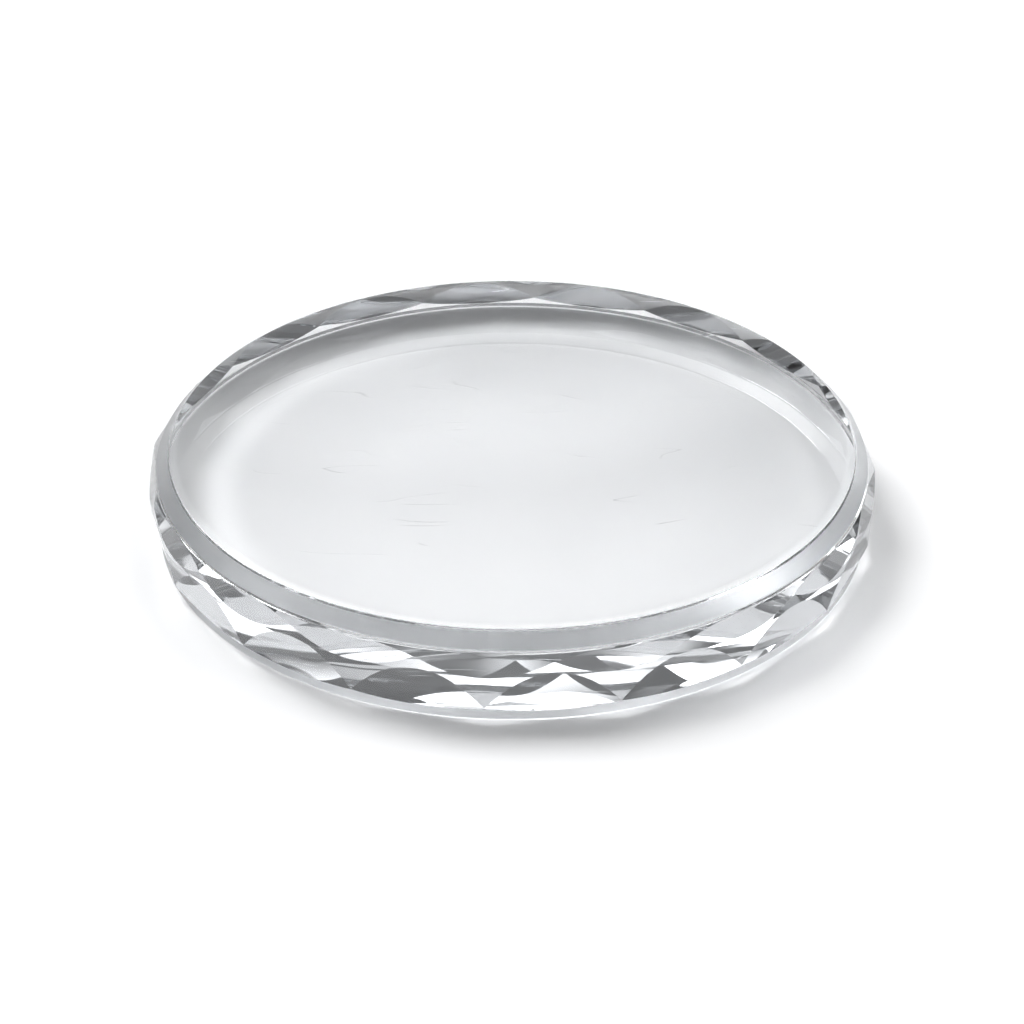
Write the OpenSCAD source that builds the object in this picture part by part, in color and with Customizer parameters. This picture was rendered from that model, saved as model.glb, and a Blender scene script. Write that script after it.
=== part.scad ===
// Watch glass: a thick round dish of clear glass, ground and polished from one blank.
// A band of cut facets runs round its side, between a plain foot and a bevelled rim.
// +Z is up, and the origin is the centre of the flat underside.
// Sizes are in millimetres.

/* [Overall size] */
// Widest diameter, over the facets
overall_d = 100; // [60:5:150]
// Height of the rim over the underside
thick = 12.5; // [12:0.1:15]

/* [Dish] */
// How far the hollow's rim stands inside the widest part
dish_inset = 3; // [2.5:0.1:6]
// Depth of the hollow at its centre
dish_depth = 1.5; // [0.5:0.1:3]

/* [Rim] */
// How far the lower edge of the bevel stands inside the widest part
crease_inset = 1.2; // [1.15:0.05:1.4]
// Height of the bevel
bevel_h = 1.95; // [1.5:0.05:2.2]
// Height of the narrow steep land under the bevel
land_h = 0.36; // [0.2:0.02:0.5]
// How far the lower edge of the land stands inside the widest part
land_inset = 1.1; // [1:0.01:1.12]
// Height of the sloped shoulder under the land
shoulder_h = 0.82; // [0.7:0.02:1]
// How far the top of the side, below the shoulder, stands inside the widest part
shoulder_inset = 0.05; // [0.03:0.01:0.1]

/* [Foot] */
// How far the plain foot stands inside the widest part
foot_inset = 1.1; // [1:0.05:1.2]
// Height of the plain foot
foot_h = 1.4; // [1:0.1:2]
// Height of the undercut that leads from the foot out to the facets
undercut_h = 0.95; // [0.8:0.05:1.2]
// How far the top of the undercut stands inside the widest part
undercut_inset = 0.15; // [0.1:0.05:0.2]
// Width of the polished edge round the underside
edge_break = 0.2; // [0.1:0.05:0.4]

/* [Facets] */
// Number of facets in each of the two rows
facets = 18; // [16:1:24]
// Height of the girdle, where the two rows meet
girdle_z = 7.3; // [6.5:0.1:8]
// Depth of each facet where it reaches the girdle
girdle_cut = 0.07; // [0.04:0.01:0.1]
// Gap left between the top of an upper facet and the land
arch_gap = 0.04; // [0.02:0.01:0.1]
// Gap left between the bottom of a lower facet and the foot
foot_gap = 0.03; // [0.02:0.01:0.1]
// Turn of the first pair of lower facets' shared corner from the +X axis
first_corner = -94; // [-110:1:-70]

/* [Hidden] */
$fn = 180;

overall_r = overall_d / 2;
foot_r = overall_r - foot_inset;
undercut_r = overall_r - undercut_inset;
shoulder_r = overall_r - shoulder_inset;
land_r = overall_r - land_inset;
crease_r = overall_r - crease_inset;
dish_r = overall_r - dish_inset;

crease_z = thick - bevel_h;
land_z = crease_z - land_h;
shoulder_z = land_z - shoulder_h;
undercut_z = foot_h + undercut_h;

// The hollow is part of a sphere that passes through the rim and through the dish's lowest point.
hollow_r = (dish_r * dish_r + dish_depth * dish_depth) / (2 * dish_depth);

// A facet's plane passes through a point on the girdle and a point at its far end.
facet_pitch = 360 / facets;
facet_girdle_r = overall_r - girdle_cut;
arch_z = land_z - arch_gap;
arch_r = land_r + arch_gap * (shoulder_r - land_r) / shoulder_h;
upper_tilt = atan((facet_girdle_r - arch_r) / (arch_z - girdle_z));
base_z = foot_h + foot_gap;
base_r = foot_r + foot_gap * (undercut_r - foot_r) / undercut_h;
lower_tilt = atan((facet_girdle_r - base_r) / (girdle_z - base_z));

// The cutter is wider than any facet, and deep enough to clear the blank.
cutter_w = 2 * overall_r * sin(facet_pitch);
cutter_t = 4;

// The blank's half section, from the centre of the underside out and up to the rim.
module half_section() {
    polygon([
        [0, 0],
        [foot_r - edge_break, 0],
        [foot_r, edge_break],
        [foot_r, foot_h],
        [undercut_r, undercut_z],
        [overall_r, girdle_z],
        [shoulder_r, shoulder_z],
        [land_r, land_z],
        [crease_r, crease_z],
        [dish_r, thick],
        [0, thick]
    ]);
}

// The blank, turned and dished, before its facets are cut.
module blank() {
    rotate_extrude()
        difference() {
            half_section();
            translate([0, thick - dish_depth + hollow_r])
                circle(r = hollow_r, $fn = 1440);
        }
}

// A flat cutter at the girdle, leaning by tilt, that reaches from low to high along its own face.
module facet_cutter(tilt, low, high) {
    translate([facet_girdle_r, 0, girdle_z])
        rotate([0, -tilt, 0])
            translate([0, -cutter_w / 2, low])
                cube([cutter_t, cutter_w, high - low]);
}

// A full row of cutters, the first one turned by start.
module facet_row(start, tilt, low, high) {
    for (i = [0 : facets - 1])
        rotate([0, 0, start + i * facet_pitch])
            facet_cutter(tilt, low, high);
}

// The upper facets hang from the shoulder, over the corners that the lower facets share.
module upper_facets() {
    facet_row(first_corner, upper_tilt, -2, (land_z - girdle_z) / cos(upper_tilt));
}

// The lower facets stand on the foot, half a pitch round from the upper ones.
module lower_facets() {
    facet_row(first_corner + facet_pitch / 2, -lower_tilt,
              -(girdle_z - foot_h) / cos(lower_tilt), 2);
}

module watch_glass() {
    color("lightcyan", 0.5)
        difference() {
            blank();
            upper_facets();
            lower_facets();
        }
}

watch_glass();
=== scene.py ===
"""Watch glass: a thick round dish of clear cut glass, standing on a pale studio floor.

The blank is turned as one closed skin, its facets are cut off it one by one, and its edges are
polished. All sizes are in metres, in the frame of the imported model: +Z is up, and the origin is
the centre of the underside.
"""

import math

import bmesh
import bpy
from bpy.props import FloatProperty, FloatVectorProperty, IntProperty, PointerProperty
from mathutils import Matrix, Vector


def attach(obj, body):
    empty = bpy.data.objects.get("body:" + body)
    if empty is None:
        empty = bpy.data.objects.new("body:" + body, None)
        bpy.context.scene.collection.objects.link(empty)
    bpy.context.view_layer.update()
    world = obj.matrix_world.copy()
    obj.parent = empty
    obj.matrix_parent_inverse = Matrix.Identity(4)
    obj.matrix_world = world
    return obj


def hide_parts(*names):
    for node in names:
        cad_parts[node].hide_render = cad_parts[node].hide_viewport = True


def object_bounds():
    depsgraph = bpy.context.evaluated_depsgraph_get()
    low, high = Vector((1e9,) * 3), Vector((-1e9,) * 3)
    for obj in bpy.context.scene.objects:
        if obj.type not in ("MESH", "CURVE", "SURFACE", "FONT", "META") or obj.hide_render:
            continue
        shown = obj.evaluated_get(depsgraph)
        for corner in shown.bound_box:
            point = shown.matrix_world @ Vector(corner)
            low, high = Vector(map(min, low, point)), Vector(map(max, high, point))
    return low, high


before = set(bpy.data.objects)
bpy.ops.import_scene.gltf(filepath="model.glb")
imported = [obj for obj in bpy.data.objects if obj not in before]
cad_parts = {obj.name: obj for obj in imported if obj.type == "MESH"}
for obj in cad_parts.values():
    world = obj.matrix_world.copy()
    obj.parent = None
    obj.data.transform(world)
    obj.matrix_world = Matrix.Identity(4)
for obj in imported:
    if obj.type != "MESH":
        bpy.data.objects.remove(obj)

bl_info = {
    "name": "Watch glass",
    "version": (1, 0, 0),
    "blender": (4, 5, 0),
    "location": "3D View > Sidebar > Watch glass",
    "description": "Builds a cut-glass watch glass round its packed frame, with a studio to show it in",
    "category": "Object",
}

CAD_LOW, CAD_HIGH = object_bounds()
MM = 0.001
OVERALL_R = round((CAD_HIGH.x - CAD_LOW.x) / 2, 5)
HEIGHT = CAD_HIGH.z - CAD_LOW.z
SMOOTH_DEGREES = 2.9   # steps round a polished edge stay under this, and every true crease is over it
TOUCHING = 1e-7   # closer than this to a facet's plane, a point counts as on it
BOUNCES = 20   # enough for a ray that crosses the glass from side to side
FLOOR_SIZE = 20
FLOOR_GAP = 0.05 * MM   # keeps the floor's surface and the underside apart


# ---------------------------------------------------------------- settings

def length(name, description, default):
    """A length that a user can change, in metres."""
    return FloatProperty(name=name, description=description, default=default, min=0,
                         subtype="DISTANCE", unit="LENGTH")


def angle(name, description, degrees):
    """An angle that a user can change, given here in degrees."""
    return FloatProperty(name=name, description=description, default=math.radians(degrees),
                         subtype="ANGLE", unit="ROTATION")


def amount(name, description, default):
    """A plain number that a user can change."""
    return FloatProperty(name=name, description=description, default=default, min=0)


def count(name, description, default, low, high):
    """A whole number that a user can change."""
    return IntProperty(name=name, description=description, default=default, min=low, max=high)


def colour(name, description, default):
    """A colour that a user can change."""
    return FloatVectorProperty(name=name, description=description, default=default, size=3,
                               subtype="COLOR", min=0, max=1)


class DishSettings(bpy.types.PropertyGroup):
    """Sizes of the dish, and the look of its glass."""

    overall_r: length("Overall radius", "Radius over the girdle, the widest part", OVERALL_R)
    height: length("Height", "Height of the rim over the underside", HEIGHT)
    dish_r: length("Hollow radius", "Radius of the hollow, out to the bevel", 47.0 * MM)
    dish_depth: length("Hollow depth", "Depth of the hollow at its centre", 1.5 * MM)
    crease_r: length("Crease radius", "Radius at the lower edge of the bevel", 48.8 * MM)
    bevel_h: length("Bevel height", "Height of the bevel", 1.95 * MM)
    land_r: length("Land radius", "Radius at the lower edge of the land", 48.9 * MM)
    land_h: length("Land height", "Height of the steep land under the bevel", 0.36 * MM)
    shoulder_h: length("Shoulder height", "Height of the shoulder under the land", 0.82 * MM)
    shoulder_drop: length("Shoulder drop", "Radius that the shoulder stands inside the girdle", 0.05 * MM)
    foot_r: length("Foot radius", "Radius of the plain foot", 48.9 * MM)
    foot_h: length("Foot height", "Height of the plain foot", 1.4 * MM)
    undercut_h: length("Undercut height", "Height of the undercut over the foot", 0.95 * MM)
    undercut_drop: length("Undercut drop", "Radius that the undercut stands inside the girdle", 0.15 * MM)
    edge_break: length("Edge break", "Width of the polished edge round the underside", 0.2 * MM)
    rim_round: length("Rim round", "Radius of the polished edge between the hollow and the bevel", 0.3 * MM)
    crease_round: length("Crease round", "Radius of the polished edge under the bevel", 0.25 * MM)
    facets: count("Facets", "Facets in each row", 18, 8, 40)
    girdle_z: length("Girdle height", "Height of the girdle, where the two rows meet", 7.3 * MM)
    girdle_cut: length("Facet depth", "Depth of each facet where it reaches the girdle", 0.07 * MM)
    arch_gap: length("Arch gap", "Gap between an upper facet and the land", 0.04 * MM)
    foot_gap: length("Foot gap", "Gap between a lower facet and the foot", 0.03 * MM)
    first_corner: angle("First corner", "Turn of the first shared corner of the lower facets", -94)
    facet_wave: length("Facet wave", "Height of the waves that polishing leaves in the facets", 0.06 * MM)
    steps: count("Steps", "Sides of the turned blank", 720, 90, 1440)
    round_steps: count("Round steps", "Steps round a polished edge", 20, 2, 40)
    dish_rings: count("Hollow rings", "Rings across the hollow", 20, 4, 60)
    tint: colour("Tint", "Colour of the glass's clean surface", (0.96, 0.965, 0.968))
    # Painted shade, not a film of use: this share darkens the colour of the whole hollow, standing in for
    # the dimmer light seen through it.
    painted_shade: amount("Film", "Share of light that the film of use in the hollow takes", 0.22)
    index: amount("Index", "Index of refraction of the glass", 1.5)
    absorption: amount("Absorption", "How strongly the glass takes up red light, per metre", 5)
    absorbed: colour("Absorbed", "Share of each colour that is spared", (0, 0.03, 0.07))


class StudioSettings(bpy.types.PropertyGroup):
    """Floor, light and camera."""

    floor_colour: colour("Floor colour", "Colour of the studio floor", (0.9, 0.9, 0.9))
    room_colour: colour("Room colour", "Colour of the light in the room", (0.985, 0.99, 1))
    key_light: amount("Key light", "Brightness of the light behind and to the left", 9.5)
    side_light: amount("Side light", "Brightness of the light behind and to the right", 3.7)
    back_glow: amount("Back glow", "Brightness low down behind the dish", 2.6)
    seen_room: amount("Seen room", "Brightness of the room as the camera sees it", 0.99)
    camera_distance: length("Camera distance", "From the camera to the dish", 391.2 * MM)
    camera_elevation: angle("Camera elevation", "Angle of the camera over the floor", 31.3)
    camera_middle: length("Camera middle", "Height of the point that the camera turns round", 4.89 * MM)
    camera_drop: length("Camera drop", "How far under that point the picture's middle is", 3.88 * MM)
    lens: FloatProperty(name="Lens", description="Focal length in millimetres", default=98.8,
                        min=1, subtype="DISTANCE_CAMERA")


# ---------------------------------------------------------------- node helpers

class Value:
    """A number in a node tree, for which + - * / add Math nodes."""

    def __init__(self, tree, socket):
        self.tree, self.socket = tree, socket

    def math(self, operation, *others, swap=False):
        """Adds a Math node that takes this number and then the others, or the other way round."""
        values = [self, *others]
        if swap:
            values.reverse()
        return self.tree.value(self.tree.add("ShaderNodeMath", {"operation": operation}, *values))

    def __add__(self, other):
        return self.math("ADD", other)

    __radd__ = __add__

    def __sub__(self, other):
        return self.math("SUBTRACT", other)

    def __rsub__(self, other):
        return self.math("SUBTRACT", other, swap=True)

    def __mul__(self, other):
        return self.math("MULTIPLY", other)

    __rmul__ = __mul__

    def __truediv__(self, other):
        return self.math("DIVIDE", other)

    def between(self, low, high):
        """0 below low, 1 above high, and a smooth step from one to the other."""
        smooth = {"interpolation_type": "SMOOTHSTEP"}
        return self.tree.value(self.tree.add("ShaderNodeMapRange", smooth, self, low, high))


class Tree:
    """A node tree that is filled one node at a time."""

    def __init__(self, tree):
        self.tree = tree
        tree.nodes.clear()

    def add(self, kind, settings=None, *first, **named):
        """Adds a node of a kind, applies its settings, then fills its sockets.

        The first values go to its sockets in order. The others go by name, with _ for a space.
        """
        node = self.tree.nodes.new(kind)
        for key, value in (settings or {}).items():
            setattr(node, key, value)
        for socket, value in zip(node.inputs, first):
            self.fill(socket, value)
        for key, value in named.items():
            self.fill(node.inputs[key.replace("_", " ")], value)
        return node

    def fill(self, socket, value):
        """Links a value that comes from another node, and sets any other."""
        if isinstance(value, Value):
            value = value.socket
        if isinstance(value, bpy.types.NodeSocket):
            self.tree.links.new(value, socket)
        else:
            socket.default_value = value

    def value(self, node, output=0):
        """One output of a node, as a number."""
        return Value(self, node.outputs[output])


# ---------------------------------------------------------------- mesh helpers

def start_piece(name, add_primitive):
    """Adds a primitive with nothing else selected, names it and opens it in edit mode."""
    bpy.ops.object.select_all(action="DESELECT")
    add_primitive()
    piece = bpy.context.object
    piece.name = piece.data.name = name
    bpy.ops.object.mode_set(mode="EDIT")
    return piece


def extrude_ring(cap_r, cap_z, r, z):
    """Draws the selected cap on from one ring of the profile to the next."""
    bpy.ops.mesh.extrude_region_move(TRANSFORM_OT_translate={"value": (0, 0, z - cap_z)})
    scale = r / cap_r
    bpy.ops.transform.resize(value=(scale, scale, 1), center_override=(0, 0, z))


def rounded(before, corner, after, radius, steps):
    """The points of an arc that takes the corner's place on its way between two other points."""
    corner = Vector(corner)
    back, on = (Vector(before) - corner).normalized(), (Vector(after) - corner).normalized()
    half = back.angle(on) / 2
    centre = corner + (back + on).normalized() * radius / math.sin(half)
    start = corner + back * radius / math.tan(half) - centre
    turn = start.angle_signed(corner + on * radius / math.tan(half) - centre)
    return [tuple(centre + Matrix.Rotation(-turn * i / steps, 2) @ start) for i in range(steps + 1)]


def side_profile(s):
    """The (radius, height) points up the blank's side, from the edge of the underside to the rim."""
    crease_z = s.height - s.bevel_h
    land_z = crease_z - s.land_h
    land, crease, rim = (s.land_r, land_z), (s.crease_r, crease_z), (s.dish_r, s.height)
    return [
        (s.foot_r - s.edge_break, 0),
        (s.foot_r, s.edge_break),
        (s.foot_r, s.foot_h),
        (s.overall_r - s.undercut_drop, s.foot_h + s.undercut_h),
        (s.overall_r, s.girdle_z),
        (s.overall_r - s.shoulder_drop, land_z - s.shoulder_h),
        land,
        *rounded(land, crease, rim, s.crease_round, s.round_steps // 2),
        *rounded(crease, rim, hollow_profile(s)[0], s.rim_round, s.round_steps),
    ]


def hollow_profile(s):
    """The (radius, height) points across the hollow, from the rim towards its centre, on a sphere."""
    hollow_r = (s.dish_r ** 2 + s.dish_depth ** 2) / (2 * s.dish_depth)
    centre_z = s.height - s.dish_depth + hollow_r
    points = []
    for ring in range(1, s.dish_rings):
        r = s.dish_r * (1 - ring / s.dish_rings)
        points.append((r, centre_z - math.sqrt(hollow_r ** 2 - r ** 2)))
    return points


def turn_blank(s):
    """Turns the whole skin of the blank from a disc, ring by ring."""
    points = side_profile(s) + hollow_profile(s)
    first_r, first_z = points[0]
    piece = start_piece("watch_glass_dish", lambda: bpy.ops.mesh.primitive_circle_add(
        vertices=s.steps, radius=first_r, fill_type="NGON", location=(0, 0, first_z)))
    for (cap_r, cap_z), (r, z) in zip(points, points[1:]):
        extrude_ring(cap_r, cap_z, r, z)
    last_z = points[-1][1]
    bpy.ops.transform.translate(value=(0, 0, s.height - s.dish_depth - last_z))
    bpy.ops.mesh.merge(type="CENTER")
    bpy.ops.mesh.select_all(action="SELECT")
    bpy.ops.mesh.normals_make_consistent(inside=False)
    return piece


def select_band(piece, low, high, turn, reach):
    """Selects the faces of the band between two heights, on both sides of a direction round the axis."""
    mesh = bmesh.from_edit_mesh(piece.data)
    towards = Vector((math.cos(turn), math.sin(turn), 0))
    bpy.ops.mesh.select_all(action="DESELECT")
    for face in mesh.faces:
        centre = face.calc_center_median()
        out = Vector((centre.x, centre.y, 0))
        if low < centre.z < high and out.length > 0 and out.normalized().dot(towards) > math.cos(reach):
            face.select = True
    mesh.select_flush_mode()
    bmesh.update_edit_mesh(piece.data)


def cut_facet(piece, s, turn, tilt):
    """Grinds one flat facet, whose plane stands at the girdle and leans back by tilt."""
    land_z = s.height - s.bevel_h - s.land_h
    select_band(piece, s.foot_h, land_z, turn, 3 * math.pi / s.facets)
    out = Vector((math.cos(turn), math.sin(turn), 0))
    point = out * (s.overall_r - s.girdle_cut) + Vector((0, 0, s.girdle_z))
    normal = out * math.cos(tilt) + Vector((0, 0, math.sin(tilt)))
    bpy.ops.mesh.bisect(plane_co=point, plane_no=normal, use_fill=True, clear_outer=True,
                        threshold=TOUCHING)


def cut_facets(piece, s):
    """Grinds the row that hangs from the shoulder, and the row that stands on the foot between them."""
    land_z = s.height - s.bevel_h - s.land_h
    girdle_r = s.overall_r - s.girdle_cut
    shoulder_slope = (s.overall_r - s.shoulder_drop - s.land_r) / s.shoulder_h
    arch_r, arch_z = s.land_r + s.arch_gap * shoulder_slope, land_z - s.arch_gap
    upper_tilt = math.atan((girdle_r - arch_r) / (arch_z - s.girdle_z))
    undercut_slope = (s.overall_r - s.undercut_drop - s.foot_r) / s.undercut_h
    base_r, base_z = s.foot_r + s.foot_gap * undercut_slope, s.foot_h + s.foot_gap
    lower_tilt = math.atan((girdle_r - base_r) / (s.girdle_z - base_z))
    pitch = 2 * math.pi / s.facets
    for i in range(s.facets):
        cut_facet(piece, s, s.first_corner + i * pitch, upper_tilt)
    for i in range(s.facets):
        cut_facet(piece, s, s.first_corner + (i + 0.5) * pitch, -lower_tilt)


# ---------------------------------------------------------------- materials

class GlassTree(Tree):
    """A node tree for the glass, with the places and patterns that its marks share."""

    def __init__(self, tree):
        super().__init__(tree)
        self.place = self.add("ShaderNodeTexCoord").outputs["Object"]
        split = self.add("ShaderNodeSeparateXYZ", Vector=self.place)
        x, y, self.height = self.value(split, 0), self.value(split, 1), self.value(split, 2)
        self.radius = (x * x + y * y).math("SQRT")

    def noise(self, scale, detail=0, place=None):
        """Smooth noise that runs about from 0.25 to 0.75, with scale waves to the metre."""
        place = place or self.place
        return self.value(self.add("ShaderNodeTexNoise", Vector=place, Scale=scale, Detail=detail))

    def turned(self, degrees, stretch):
        """Places turned about the axis, so that a pattern on them is drawn out by stretch one way."""
        turn = (0, 0, math.radians(degrees))
        scale = (1 / stretch, 1, 1)
        return self.add("ShaderNodeMapping", Vector=self.place, Rotation=turn, Scale=scale).outputs[0]

    def hairlines(self, degrees, scale, spread):
        """Short fine scratches that follow one direction, where a second noise lets them show."""
        field = self.noise(scale, 2, self.turned(degrees, 5))
        line = 1 - (field - 0.5).math("ABSOLUTE").between(0.0008, 0.0035)
        patches = self.noise(scale * 1.3, 1, self.turned(degrees, 2))
        return line * patches.between(1 - spread, 1.06 - spread)

    def specks(self, scale, size, share):
        """Tiny round specks, at most one to a cell, in a share of the cells."""
        cells = self.add("ShaderNodeTexVoronoi", Vector=self.place, Scale=scale)
        chance = self.value(self.add("ShaderNodeSeparateColor", Color=cells.outputs["Color"]))
        speck = 1 - self.value(cells).between(size * scale * 0.6, size * scale)
        return speck * chance.between(1 - share, 1.01 - share)


def clear_glass(s):
    """Colourless glass, polished but for a finely ground bevel and foot, with the marks of use, and painted
    shade that darkens the hollow.
    """
    material = bpy.data.materials.new("clear glass")
    material.use_nodes = True
    t = GlassTree(material.node_tree)

    crease_z = s.height - s.bevel_h
    on_top = t.height.between(crease_z - 0.2 * MM, crease_z - 0.1 * MM)
    in_hollow = on_top * (1 - t.radius.between(s.dish_r - 1.5 * MM, s.dish_r - 0.5 * MM))
    on_facets = t.radius.between(s.foot_r, s.foot_r + 0.2 * MM)
    on_bevel = on_top * t.radius.between(s.dish_r + 0.1 * MM, s.dish_r + 0.3 * MM)
    below_facets = 1 - t.height.between(s.foot_h, s.foot_h + 0.05 * MM)
    on_foot = t.radius.between(s.foot_r - 0.3 * MM, s.foot_r - 0.25 * MM) * below_facets

    hairlines = t.hairlines(25, 90, 0.42) + t.hairlines(-20, 110, 0.4) + t.hairlines(70, 100, 0.38)
    scratches = hairlines * in_hollow
    dust = t.specks(260, 0.09 * MM, 0.3) * in_hollow
    smudges = t.noise(45, 3).between(0.45, 0.75) * in_hollow
    # Painted shade: the hollow's colour is darkened evenly, standing in for the dimmer light seen through
    # it, not for a film on the glass. The share left over combines this painted shade with the real
    # scratches, dust and smudges.
    painted_shade = in_hollow * s.painted_shade
    clean = (1 - painted_shade) * (1 - scratches * 0.2) * (1 - dust * 0.45) * (1 - smudges * 0.04)
    red, green, blue = [clean * share for share in s.tint]

    ground = (on_bevel * 0.36 + on_foot * 0.3) * (0.85 + t.noise(400, 3) * 0.3)
    roughness = ground + smudges * 0.025 + scratches * 0.2 + dust * 0.4
    relief = t.noise(120) * on_facets * s.facet_wave - scratches * 0.004 * MM

    surface = t.add("ShaderNodeCombineColor", Red=red, Green=green, Blue=blue)
    bump = t.add("ShaderNodeBump", Strength=1.0, Distance=1.0, Height=relief)
    shader = t.add("ShaderNodeBsdfPrincipled", Base_Color=surface.outputs[0], Roughness=roughness,
                   IOR=s.index, Transmission_Weight=1.0, Normal=bump.outputs[0])
    body = t.add("ShaderNodeVolumeAbsorption", Color=(*s.absorbed, 1), Density=s.absorption)
    t.add("ShaderNodeOutputMaterial", Surface=shader.outputs[0], Volume=body.outputs[0])
    return material


def studio_white(colour):
    """Matt paint of one colour, for the floor."""
    material = bpy.data.materials.new("studio white")
    material.use_nodes = True
    t = Tree(material.node_tree)
    shader = t.add("ShaderNodeBsdfPrincipled", Base_Color=(*colour, 1), Roughness=0.9,
                   Specular_IOR_Level=0.0)
    t.add("ShaderNodeOutputMaterial", Surface=shader.outputs[0])
    return material


# ---------------------------------------------------------------- operators

class WATCHGLASS_OT_dish(bpy.types.Operator):
    """Turns, dishes and facets the glass"""

    bl_idname = "watchglass.dish"
    bl_label = "Dish"
    bl_options = {"REGISTER", "UNDO"}

    def execute(self, context):
        s = context.scene.watch_glass_dish
        piece = turn_blank(s)
        cut_facets(piece, s)
        bpy.ops.object.mode_set(mode="OBJECT")
        bpy.ops.object.shade_smooth_by_angle(angle=math.radians(SMOOTH_DEGREES))
        piece.data.materials.append(clear_glass(s))
        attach(piece, "root")
        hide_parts("watch_glass")
        return {"FINISHED"}


class WATCHGLASS_OT_studio(bpy.types.Operator):
    """Sets out the floor, the lights and the camera"""

    bl_idname = "watchglass.studio"
    bl_label = "Studio"
    bl_options = {"REGISTER", "UNDO"}

    def execute(self, context):
        s = context.scene.watch_glass_studio
        bpy.ops.object.select_all(action="DESELECT")
        bpy.ops.mesh.primitive_plane_add(size=FLOOR_SIZE, location=(0, 0, -FLOOR_GAP))
        floor = context.object
        floor.name = "studio_floor"
        floor.data.materials.append(studio_white(s.floor_colour))
        place_camera(context, s)
        light_world(context, s)
        context.scene.view_settings.view_transform = "Standard"
        trace_glass(context.scene.cycles)
        return {"FINISHED"}


def trace_glass(cycles):
    """Lets rays be reflected many times inside the glass, and keeps what they show sharp."""
    cycles.max_bounces = BOUNCES
    cycles.glossy_bounces = BOUNCES
    cycles.transmission_bounces = BOUNCES
    cycles.blur_glossy = 0


def place_camera(context, s):
    """Puts the camera in front of the dish, and frames the dish a little above the middle."""
    e = s.camera_elevation
    middle = Vector((0, 0, s.camera_middle))
    up = Vector((0, math.sin(e), math.cos(e)))
    back = Vector((0, -math.cos(e), math.sin(e)))
    aim = middle - up * s.camera_drop
    data = bpy.data.cameras.new("camera")
    data.lens = s.lens
    data.clip_start, data.clip_end = 0.01, 100
    camera = bpy.data.objects.new("camera", data)
    context.scene.collection.objects.link(camera)
    camera.location = middle + back * s.camera_distance
    camera.rotation_euler = (aim - camera.location).to_track_quat("-Z", "Y").to_euler()
    context.scene.camera = camera


def soft_light(t, direction, azimuth, elevation, core, edge):
    """1 within core of a point in the room, fading to 0 at edge from it, all in degrees."""
    azimuth, elevation, core, edge = [math.radians(n) for n in (azimuth, elevation, core, edge)]
    flat = math.cos(elevation)
    towards = (math.cos(azimuth) * flat, math.sin(azimuth) * flat, math.sin(elevation))
    dot = t.add("ShaderNodeVectorMath", {"operation": "DOT_PRODUCT"}, direction, towards)
    return t.value(dot, 1).between(math.cos(edge), math.cos(core))


def light_world(context, s):
    """Soft lights round a dim room with a pale horizon. The camera itself sees a plain pale room."""
    world = bpy.data.worlds.new("studio")
    context.scene.world = world
    world.use_nodes = True
    t = Tree(world.node_tree)
    direction = t.add("ShaderNodeTexCoord").outputs["Generated"]
    height = t.value(t.add("ShaderNodeSeparateXYZ", Vector=direction), 2)
    horizon = 1 - height.between(0.08, 0.35)
    ceiling = height.between(0.3, 0.8)
    room = horizon * 0.8 + ceiling * 0.12 + 0.2
    key = soft_light(t, direction, azimuth=138, elevation=48, core=9, edge=24) * s.key_light
    side = soft_light(t, direction, azimuth=48, elevation=50, core=8, edge=22) * s.side_light
    clouds = t.value(t.add("ShaderNodeTexNoise", Vector=direction, Scale=5, Detail=1)).between(0.35, 0.65)
    glow = soft_light(t, direction, azimuth=92, elevation=19, core=8, edge=14) * s.back_glow
    light = room + key + side + glow * (clouds * 0.4 + 0.8)
    seen = t.value(t.add("ShaderNodeLightPath"))
    strength = light * (1 - seen) + seen * s.seen_room
    shader = t.add("ShaderNodeBackground", Color=(*s.room_colour, 1), Strength=strength)
    t.add("ShaderNodeOutputWorld", Surface=shader.outputs[0])


class WATCHGLASS_PT_panel(bpy.types.Panel):
    """Lists what the watch glass is built from"""

    bl_label = "Watch glass"
    bl_idname = "WATCHGLASS_PT_panel"
    bl_space_type = "VIEW_3D"
    bl_region_type = "UI"
    bl_category = "Watch glass"

    def draw(self, context):
        for operator in OPERATORS:
            self.layout.operator(operator.bl_idname)


OPERATORS = (WATCHGLASS_OT_dish, WATCHGLASS_OT_studio)
CLASSES = (DishSettings, StudioSettings, *OPERATORS, WATCHGLASS_PT_panel)


def register():
    for cls in CLASSES:
        bpy.utils.register_class(cls)
    bpy.types.Scene.watch_glass_dish = PointerProperty(type=DishSettings)
    bpy.types.Scene.watch_glass_studio = PointerProperty(type=StudioSettings)


def unregister():
    del bpy.types.Scene.watch_glass_studio
    del bpy.types.Scene.watch_glass_dish
    for cls in reversed(CLASSES):
        bpy.utils.unregister_class(cls)


def main():
    register()
    bpy.ops.watchglass.dish()
    bpy.ops.watchglass.studio()


if __name__ == "__main__":
    main()
